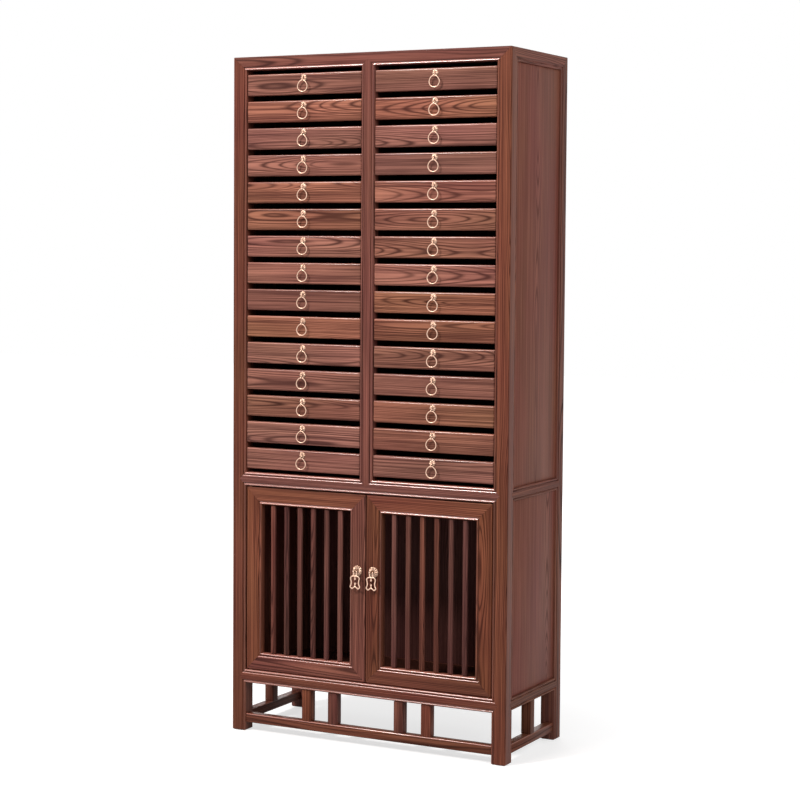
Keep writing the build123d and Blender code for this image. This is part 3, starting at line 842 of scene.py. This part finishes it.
def door_frame(name):
    """Two stiles and two rails with a bead round the opening.

    They are mitred at the corners: a point is cut by its distance from the outer edge.
    """
    made = Joinery(name)
    low, high = corners(name)
    width, tall = high[0] - low[0], high[2] - low[2]
    thick = high[1] - low[1]
    section, reach = member_section(DOOR_MEMBER, thick, round_edge(), bead_edge())
    # Coat gloss and painted highlight on the beads along the opening's top and bottom, where they
    # face up to the light, and a trace on the stiles' beads
    upright = UPRIGHT_SHINE * (np.abs(DOOR_MEMBER - reach) <= BEAD)
    below_bead = np.where(np.isfinite(reach), DOOR_MEMBER - reach, np.inf)
    foot = painted_highlight_and_gloss(below_bead, DOOR_MEMBER, *DOOR_FOOT_SHINE)
    head = painted_highlight_and_gloss(reach, DOOR_MEMBER, *DOOR_HEAD_SHINE)
    inset = section[:, 0] + SEAM
    deep = (0, 1, 0)
    for length, x, z, across, along, shine in (
        (tall, low[0], low[2], (1, 0, 0), (0, 0, 1), upright),
        (tall, high[0], low[2], (-1, 0, 0), (0, 0, 1), upright),
        (width, low[0], low[2], (0, 0, 1), (1, 0, 0), foot),
        (width, low[0], high[2], (0, 0, -1), (1, 0, 0), head),
    ):
        rings = [pinned(section, inset), pinned(section, length - inset)]
        axes = (across, deep, along)
        made.add(rings, (x, low[1], z), axes, flat_sawn=0.6, shine=shine)
    return made


def door_slats(name):
    """Upright rounded slats, evenly spaced across the node's box."""
    made = Joinery(name)
    low, high = corners(name)
    for x in np.linspace(low[0], high[0] - SLAT, SLATS):
        made.plank(
            (x, low[1], low[2]), (x + SLAT, high[1], high[2]),
            ALONG_Z, SLAT_ROUND, flat_sawn=0.3,
        )
    return made


# Materials

def linear(red, green, blue):
    """A colour given in screen values, 0 to 255, as the linear light that Blender works in."""
    share = np.array([red, green, blue]) / 255
    return (*np.where(share < 0.04045, share / 12.92, ((share + 0.055) / 1.055) ** 2.4), 1.0)


class Number:
    """An output socket of a shader node; arithmetic on it adds the Math nodes that it needs."""

    def __init__(self, nodes, socket):
        self.nodes, self.socket = nodes, socket

    def __add__(self, other):
        return self.nodes.math("ADD", self, other)

    def __sub__(self, other):
        return self.nodes.math("SUBTRACT", self, other)

    def __mul__(self, other):
        return self.nodes.math("MULTIPLY", self, other)

    def __truediv__(self, other):
        return self.nodes.math("DIVIDE", self, other)

    def __pow__(self, other):
        return self.nodes.math("POWER", self, other)

    def __rsub__(self, other):
        return self.nodes.math("SUBTRACT", other, self)

    __radd__ = __add__
    __rmul__ = __mul__


class Nodes:
    """Adds nodes to one node tree."""

    def __init__(self, tree):
        self.tree = tree
        tree.nodes.clear()

    def node(self, kind, settings=(), inputs=(), out=0):
        """Adds a node, with its settings first and then its sockets' values or links."""
        made = self.tree.nodes.new("ShaderNode" + kind)
        for name, value in dict(settings).items():
            setattr(made, name, value)
        for name, value in dict(inputs).items():
            if isinstance(value, Number):
                self.tree.links.new(value.socket, made.inputs[name])
            else:
                made.inputs[name].default_value = value
        return Number(self, made.outputs[out]) if len(made.outputs) else made

    def math(self, operation, *values):
        return self.node("Math", {"operation": operation}, enumerate(values))

    def vector(self, x, y, z):
        return self.node("CombineXYZ", inputs=enumerate((x, y, z)))

    def parts(self, place):
        """The three values of a vector."""
        outputs = self.node("SeparateXYZ", inputs={0: place}).socket.node.outputs
        return [Number(self, output) for output in outputs]

    def clamp(self, value):
        """The value, kept between 0 and 1."""
        return self.node("Clamp", inputs={0: value})

    def noise(self, place, detail=2.0, rough=0.5):
        inputs = {"Vector": place, "Scale": 1.0, "Detail": detail, "Roughness": rough}
        return self.node("TexNoise", inputs=inputs)

    def mix(self, share, first, second):
        return self.node("Mix", {"data_type": "RGBA"}, {0: share, 6: first, 7: second}, out=2)

    def bump(self, strength, distance, height):
        inputs = {"Strength": strength, "Distance": distance, "Height": height}
        return self.node("Bump", inputs=inputs, out="Normal")

    def surface(self, shader):
        self.node("OutputMaterial", inputs={"Surface": shader})


def new_material(name):
    """An empty material and its nodes."""
    material = bpy.data.materials.new(name)
    material.use_nodes = True
    return material, Nodes(material.node_tree)


# Light ground, dark ground and growth lines of each wood
WOODS = {
    "frame_wood": (linear(136, 79, 60), linear(91, 48, 37), linear(58, 28, 22)),
    "drawer_wood": (linear(164, 107, 87), linear(99, 59, 49), linear(66, 35, 29)),
    "panel_wood": (linear(137, 82, 70), linear(108, 60, 51), linear(84, 46, 39)),
    # The inner wood is darkened as painted shade of the drawer gaps and the cabinet's inside
    "inner_wood": (linear(78, 46, 34), linear(56, 31, 24), linear(40, 21, 17)),
}
# Growth rings: how far their pith wanders sideways and in depth, how far ripples and fat or
# lean years move a ring, in ring widths, the power that narrows its line, and how much of the
# line's colour shows
RING_WIDTH = 3.0 * MM
PITH_WANDER, PITH_LIFT = 0.03, 0.11
RING_RIPPLE, RING_YEARS = 0.5, 2.4
LINE_POWER = 3.2
LINE_SHARE = 0.8

# The wood's patterns: spots per metre along the grain and across it, detail and roughness
RIPPLE = (6, 45, 2.0, 0.5)
FIBRE = (10, 520, 3.0, 0.65)
STREAK = (1.6, 190, 3.0, 0.7)
CLOUD = (4, 14, 2.0, 0.5)
PORES = (9, 330, 2.0, 0.6)

# How far fibres and pores change the lightness, and boards their lightness, hue and saturation
FIBRE_SHADE, PORE_SHADE = 0.3, 0.25
TONE_SPREAD, HUE_SPREAD, SATURATION_SPREAD = 0.36, 0.01, 0.14

# Painted highlight on shiny edges: its colour, and how much of it and of the coat full shine brings
PAINTED_HIGHLIGHT_COLOUR = linear(228, 150, 132)
PAINTED_HIGHLIGHT_AND_COAT_SHARE = 0.55

# Bright metal, and a brown that stands for both a film and painted shade
BRIGHT_BRASS = linear(218, 182, 160)
BROWN_FILM_AND_SHADE = linear(98, 66, 48)


def pattern(n, place, kind):
    """Noise at a place (along, across, deep), stretched along the grain."""
    along, across, deep = place
    lengthwise, crosswise, detail, rough = kind
    point = n.vector(along * lengthwise, across * crosswise, deep * crosswise)
    return n.noise(point, detail, rough)


def growth_lines(n, place):
    """How strong the growth line is at a place (along, across, deep) in its board.

    Growth rings are circles round a pith that wanders along the board, so a face close to the
    pith shows pointed arches and one far from it straight lines. A line is a power of a sine
    wave of the distance from the pith in ring widths, and some years' lines are stronger.
    """
    along, across, deep = place
    wander = n.noise(n.vector(along * 1.3, 0.0, deep * 2), 1.0)
    lift = n.noise(n.vector(along * 0.9, 7.0, across * 2), 1.5)
    aside = across + (wander - 0.5) * PITH_WANDER
    below = deep + (lift - 0.5) * PITH_LIFT
    rings = (aside * aside + below * below) ** 0.5 / RING_WIDTH
    years = n.noise(n.vector(rings * 0.37, 3.0, 0.0), 1.0)
    rings = rings + pattern(n, place, RIPPLE) * RING_RIPPLE + years * RING_YEARS
    wave = n.math("SINE", rings * (2 * math.pi)) * 0.5 + 0.5
    return wave**LINE_POWER * (years * 1.6 + 0.2)


def wood(slot, axis=None):
    """Figured hardwood under a satin lacquer, with growth lines, dark streaks, fibres and pores.

    With an axis, which the grain then follows, the places come from Object coordinates and the
    boards don't differ.
    """
    light, dark, line_colour = WOODS[slot]
    material, n = new_material(slot if axis is None else f"{slot}_{'xyz'[axis]}")
    if axis is None:
        place = n.parts(n.node("Attribute", {"attribute_name": "grain"}, out="Vector"))
        board = n.node("Attribute", {"attribute_name": "board"}, out="Vector")
        tone, warmth, shine = n.parts(board)
    else:
        place = n.parts(n.node("TexCoord", out="Object"))
        place = place[axis:] + place[:axis]
    along, across, deep = place
    line = growth_lines(n, place)
    fibre = pattern(n, place, FIBRE)
    pores = n.clamp(pattern(n, place, PORES) * 4 - 2.2)
    blush = n.noise(n.vector(along * 2.5, across * 9 + 5.0, deep * 9), 1.0)
    dark_share = pattern(n, place, CLOUD) * 0.9 + pattern(n, place, STREAK) * 3.6 - 1.75
    ground = n.mix(n.clamp(dark_share), light, dark)
    ringed = n.mix(n.clamp(line * LINE_SHARE), ground, line_colour)
    shade = fibre * FIBRE_SHADE + 0.9 - pores * PORE_SHADE
    hue = blush * 0.03 + 0.485
    saturation = 1.0
    if axis is None:
        shade = shade + (tone - 0.5) * TONE_SPREAD
        hue = hue + (warmth - 0.5) * HUE_SPREAD
        saturation = warmth * SATURATION_SPREAD + 0.88
    colour = n.node(
        "HueSaturation",
        inputs={"Hue": hue, "Saturation": saturation, "Value": shade, "Color": ringed}, out="Color",
    )
    if axis is None:
        # Painted highlight: shiny edges are lightened towards a pale pink
        colour = n.mix(shine * PAINTED_HIGHLIGHT_AND_COAT_SHARE, colour, PAINTED_HIGHLIGHT_COLOUR)
    n.surface(n.node("BsdfPrincipled", inputs={
        "Base Color": colour,
        "Roughness": line * 0.12 + fibre * 0.14 + 0.3,
        "Specular IOR Level": 0.05,
        "Coat Weight": shine * PAINTED_HIGHLIGHT_AND_COAT_SHARE if axis is None else 0.0,
        "Coat Roughness": 0.24,
        "Coat IOR": 3.2,
        "Normal": n.bump(0.25, 0.25 * MM, fibre * 0.7 - line * 0.5),
    }))
    return material


def brass():
    """Warm cast brass with a brown film in patches, and painted shade where its shine is low."""
    material, n = new_material("brass")
    place = n.node("TexCoord", out="Object")
    film, grit = (
        n.noise(n.node("VectorMath", {"operation": "SCALE"}, {0: place, "Scale": scale}), detail)
        for scale, detail in ((160.0, 3.0), (900.0, 2.0))
    )
    _, _, shine = n.parts(n.node("Attribute", {"attribute_name": "board"}, out="Vector"))
    # Brown where the film's noise is high, and as painted shade where the shine is low
    film_and_painted_shade = n.clamp((film - 0.45) * 1.6 + (0.85 - shine) * 3.0)
    n.surface(n.node("BsdfPrincipled", inputs={
        "Base Color": n.mix(film_and_painted_shade, BRIGHT_BRASS, BROWN_FILM_AND_SHADE),
        "Metallic": 1.0,
        "Roughness": 0.26 + film * 0.2,
        "Normal": n.bump(0.2, 0.2 * MM, film + grit * 0.4),
    }))
    return material


# Assembly


def kept(node, material):
    """Puts a material in the slots of a CAD node that stays in view."""
    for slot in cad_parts[node].material_slots:
        slot.material = material


def build_object():
    """Makes every piece, fastens it to its body, and gives kept CAD parts their materials."""
    finish = {slot: wood(slot) for slot in WOODS}
    finish["brass"] = brass()
    for made, slot in (
        (posts("front_posts", FRONT_Y, 1, True), "frame_wood"),
        (posts("rear_posts", BACK_Y, -1, False), "frame_wood"),
        (top_rail(Joinery("front_top_rail"), FRONT_Y, 1), "frame_wood"),
        (front_rail("front_middle_rail", MIDDLE_HIGH, True, MIDDLE_RAIL_SHINE), "frame_wood"),
        (front_rail("front_bottom_rail", BOTTOM_HIGH, False, BOTTOM_RAIL_SHINE), "frame_wood"),
        (side_top_rails("side_top_rails"), "frame_wood"),
        (side_rails("side_middle_rails", MIDDLE_HIGH), "frame_wood"),
        (side_rails("side_bottom_rails", BOTTOM_HIGH), "frame_wood"),
        (mullion("centre_mullion"), "frame_wood"),
        (rear_rails("rear_rails"), "frame_wood"),
        (base_stretchers("base_stretchers"), "frame_wood"),
        (base_struts("base_struts"), "frame_wood"),
        (paired_panels("upper_side_panels"), "panel_wood"),
        (paired_panels("lower_side_panels"), "panel_wood"),
        (back_panels("back_panels"), "panel_wood"),
        (whole_board("top_panel", ALONG_X), "panel_wood"),
    ):
        made.piece(CARCASS, slot, finish, made.name)
    for side in SIDES:
        door = f"{side}_door"
        for made in (door_frame(f"{door}_frame"), door_slats(f"{door}_slats")):
            made.piece(door, "frame_wood", finish, made.name)
        low, high = corners(f"{side}_pull_plate")
        centre = (low + high) / 2
        centre[1] = high[1]
        plate = pull_plate(f"{side}_pull_plate_look", centre)
        plate.piece(door, "brass", finish, f"{side}_pull_plate")
        drop = pendant(f"{side}_pull_pendant_look", centre - (0, PIN_REACH, 0))
        drop.piece(f"{side}_pendant", "brass", finish, f"{side}_pull_pendant")
        for row in range(1, ROWS + 1):
            node = f"drawer_{side}_{row:02}"
            for made, slot in zip(drawer(node), ("drawer_wood", "inner_wood", "brass")):
                made.piece(node, slot, finish, node)
    for node, axis in (
        ("centre_partition", ALONG_Z),
        ("inner_boards", ALONG_X),
        ("drawer_runners", ALONG_Y),
        ("door_catches", ALONG_X),
    ):
        kept(node, wood("inner_wood", axis))
    for side in SIDES:
        kept(f"{side}_door_pivots", finish["brass"])


# Studio

WHITE = (1, 1, 1)

# Lamps: name, place, width, share of full white at the cabinet, and colour
LAMPS = (
    ("key", (-2.4, -4.2, 4.6), 1.0, 0.75, (1.0, 0.95, 0.92)),
    ("fill", (4.2, -2.0, 3.2), 2.5, 0.34, WHITE),
    ("overhead", (-0.3, -1.6, 4.4), 0.7, 0.3, (1.0, 0.83, 0.77)),
    ("rear", (-2.0, 4.4, 2.4), 2.5, 0.35, WHITE),
)
LAMPS_AIM = (0, 0, 0.9)

# Power of an area lamp that makes a white surface one metre away look full white
FULL_POWER = 9.87

# How strongly the surroundings light the cabinet, while they look white
SURROUND_LIGHT = 0.28

# The floor, and its glow near the cabinet. It glows fully a metre past where it gets brighter
FLOOR_REACH = 14.0
FLOOR_GREY = 0.5
NEAR_GLOW = 0.66
BRIGHTER_PAST = 0.4

# The camera, fitted to the photograph's straight edges
CAMERA_PLACE = (2.501, -4.735, 1.308)
YAW, PITCH, ROLL = (math.radians(angle) for angle in (27.748, 3.401, 0.397))
LENS = 91.06
SENSOR = 36
SHIFT_UP = -0.0438


def area_lamp(name, place, width, share, colour):
    """A square lamp that is turned to the cabinet."""
    lamp = bpy.data.lights.new(name, "AREA")
    lamp.size, lamp.color = width, colour
    reach = Vector(LAMPS_AIM) - Vector(place)
    lamp.energy = FULL_POWER * reach.length_squared * share
    made = bpy.data.objects.new(name, lamp)
    made.location = place
    made.rotation_euler = reach.to_track_quat("-Z", "Y").to_euler()
    bpy.context.scene.collection.objects.link(made)


def seen_rays(n):
    """One for rays from the camera, sharp reflections and light passing through, else zero."""
    path = n.node("LightPath").socket.node.outputs
    camera, glossy, through = (
        Number(n, path[f"Is {kind} Ray"]) for kind in ("Camera", "Glossy", "Transmission")
    )
    return n.math("MAXIMUM", n.math("MAXIMUM", camera, glossy), through)


def surroundings():
    """Surroundings that look white, and light the cabinet less than that."""
    world = bpy.data.worlds.new("studio")
    bpy.context.scene.world = world
    world.use_nodes = True
    n = Nodes(world.node_tree)
    strength = seen_rays(n) * (1 - SURROUND_LIGHT) + SURROUND_LIGHT
    light = n.node("Background", inputs={"Color": (*WHITE, 1), "Strength": strength})
    n.node("OutputWorld", inputs={"Surface": light})


def pale_floor():
    """A floor that takes the cabinet's shadow, and looks white further away."""
    mesh = bpy.data.meshes.new("floor")
    mesh.from_pydata(
        [
            (-FLOOR_REACH, -FLOOR_REACH, 0), (FLOOR_REACH, -FLOOR_REACH, 0),
            (FLOOR_REACH, FLOOR_REACH, 0), (-FLOOR_REACH, FLOOR_REACH, 0),
        ],
        [], [(0, 1, 2, 3)],
    )
    floor = bpy.data.objects.new("floor", mesh)
    bpy.context.scene.collection.objects.link(floor)
    material, n = new_material("floor")
    pale = n.node("BsdfDiffuse", inputs={"Color": (FLOOR_GREY, FLOOR_GREY, FLOOR_GREY, 1)})
    place = n.node("TexCoord", out="Object")
    away = n.node("VectorMath", {"operation": "LENGTH"}, {0: place}, out="Value")
    share = seen_rays(n) * (n.clamp(away - BRIGHTER_PAST) * (1 - NEAR_GLOW) + NEAR_GLOW)
    white = n.node("Emission", inputs={"Color": (*WHITE, 1), "Strength": 1.0})
    glow = n.node("MixShader", inputs={0: share, 2: white})
    n.surface(n.node("AddShader", inputs={0: pale, 1: glow}))
    mesh.materials.append(material)


def fitted_camera():
    """The camera. Roll turns it round its line of sight."""
    lens = bpy.data.cameras.new("camera")
    lens.sensor_width, lens.lens, lens.shift_y = SENSOR, LENS, SHIFT_UP
    made = bpy.data.objects.new("camera", lens)
    bpy.context.scene.collection.objects.link(made)
    ahead = np.array([-math.sin(YAW), math.cos(YAW), 0]) * math.cos(PITCH)
    forward = ahead - (0, 0, math.sin(PITCH))
    right = np.array([math.cos(YAW), math.sin(YAW), 0])
    up = np.cross(right, forward)
    level = right * math.cos(ROLL) + up * math.sin(ROLL)
    upright = up * math.cos(ROLL) - right * math.sin(ROLL)
    turn = Matrix(np.c_[level, upright, -forward].tolist()).to_4x4()
    made.matrix_world = Matrix.Translation(CAMERA_PLACE) @ turn
    bpy.context.scene.camera = made


def studio():
    """White surroundings, a pale floor, soft lamps and the camera."""
    bpy.context.scene.view_settings.view_transform = "Standard"
    surroundings()
    pale_floor()
    for lamp in LAMPS:
        area_lamp(*lamp)
    fitted_camera()


build_object()
studio()
